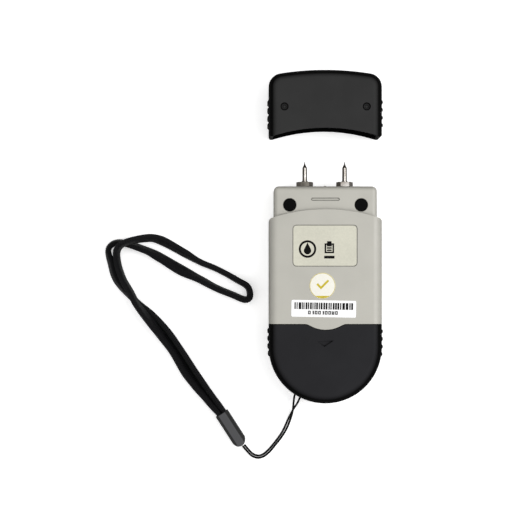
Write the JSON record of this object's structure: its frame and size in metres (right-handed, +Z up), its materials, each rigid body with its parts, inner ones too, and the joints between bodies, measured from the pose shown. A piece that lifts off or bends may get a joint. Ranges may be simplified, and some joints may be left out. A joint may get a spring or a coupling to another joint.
{
  "type": "moisture meter",
  "caption": "Pin-type moisture meter lying on its display side, protective cap pulled off, with battery cover, press buttons and a woven wrist strap.",
  "frame": {"origin": "on the surface that the meter lies on, below the middle of the box of meter and pulled-off cap, without the strap", "axes": "+X across the width, +Y towards the pins and the cap, +Z up and out of the meter's back face"},
  "size_m": [0.134, 0.1878, 0.0251],
  "materials": {
    "shell_grey": "fine moulded texture",
    "cover_black": "fine moulded texture",
    "cap_black": "fine moulded texture",
    "insulator_black": "plain",
    "nickel": "nickel plated, turned",
    "brass": "plain",
    "lead_insulation": "plain",
    "label_film": "satin film",
    "seal_paper": "glossy sticker",
    "label_paper": "glossy sticker",
    "plug_rubber": "matte",
    "screw_steel": "zinc plated",
    "window_clear": "clear acrylic",
    "display_glass": "liquid crystal display",
    "silicone_grey": "elastomer contact strip",
    "board_green": "solder mask",
    "chip_black": "moulded",
    "button_grey": "silicone rubber",
    "cell_steel": "plain",
    "webbing_black": "woven webbing with cross ribs",
    "cord_black": "braided cord",
    "ferrule_grey": "moulded"
  },
  "bodies": {
    "housing": {"back_shell": "shell_grey", "front_shell": "shell_grey", "front_grip": "cover_black", "electrode_block": "insulator_black", "electrode_pin_left": "nickel", "electrode_pin_right": "nickel", "pin_nut_left": "nickel", "pin_nut_right": "nickel", "pin_socket_left": "brass", "pin_socket_right": "brass", "electrode_lead_left": "lead_insulation", "electrode_lead_right": "lead_insulation", "rating_label": "label_film", "inspection_seal": "seal_paper", "serial_label": "label_paper", "screw_plug_left": "plug_rubber", "screw_plug_right": "plug_rubber", "case_screw_neck_left": "screw_steel", "case_screw_neck_right": "screw_steel", "case_screw_bay_left": "screw_steel", "case_screw_bay_right": "screw_steel", "board_screw_left": "screw_steel", "board_screw_right": "screw_steel", "display_window": "window_clear", "display_glass": "display_glass", "display_frame": "insulator_black", "contact_strip_upper": "silicone_grey", "contact_strip_lower": "silicone_grey", "circuit_board": "board_green", "processor": "chip_black", "buzzer": "chip_black", "power_switch": "screw_steel", "hold_switch": "screw_steel", "mode_switch": "screw_steel", "battery_cell_1": "cell_steel", "battery_cell_2": "cell_steel", "contact_plate": "brass", "contact_clip": "brass", "wrist_strap": "webbing_black", "strap_ferrule": "ferrule_grey", "lanyard_cord_left": "cord_black", "lanyard_cord_right": "cord_black"},
    "cap": {"protective_cap": "cap_black"},
    "battery_door": {"battery_cover": "cover_black"},
    "power_key": {"power_button": "button_grey"},
    "hold_key": {"hold_button": "button_grey"},
    "mode_key": {"mode_button": "button_grey"}
  },
  "joints": [
    {"name": "cap_slide", "type": "slide", "parent": "housing", "child": "cap", "axis": [0, 1, 0], "range_m": [-0.0384, 0]},
    {"name": "battery_cover_slide", "type": "slide", "parent": "housing", "child": "battery_door", "axis": [0, -1, 0], "range_m": [0, 0.04]},
    {"name": "power_press", "type": "slide", "parent": "housing", "child": "power_key", "axis": [0, 0, 1], "range_m": [0, 0.0007], "stiffness_N_per_m": 900},
    {"name": "hold_press", "type": "slide", "parent": "housing", "child": "hold_key", "axis": [0, 0, 1], "range_m": [0, 0.0007], "stiffness_N_per_m": 900},
    {"name": "mode_press", "type": "slide", "parent": "housing", "child": "mode_key", "axis": [0, 0, 1], "range_m": [0, 0.0007], "stiffness_N_per_m": 900}
  ]
}
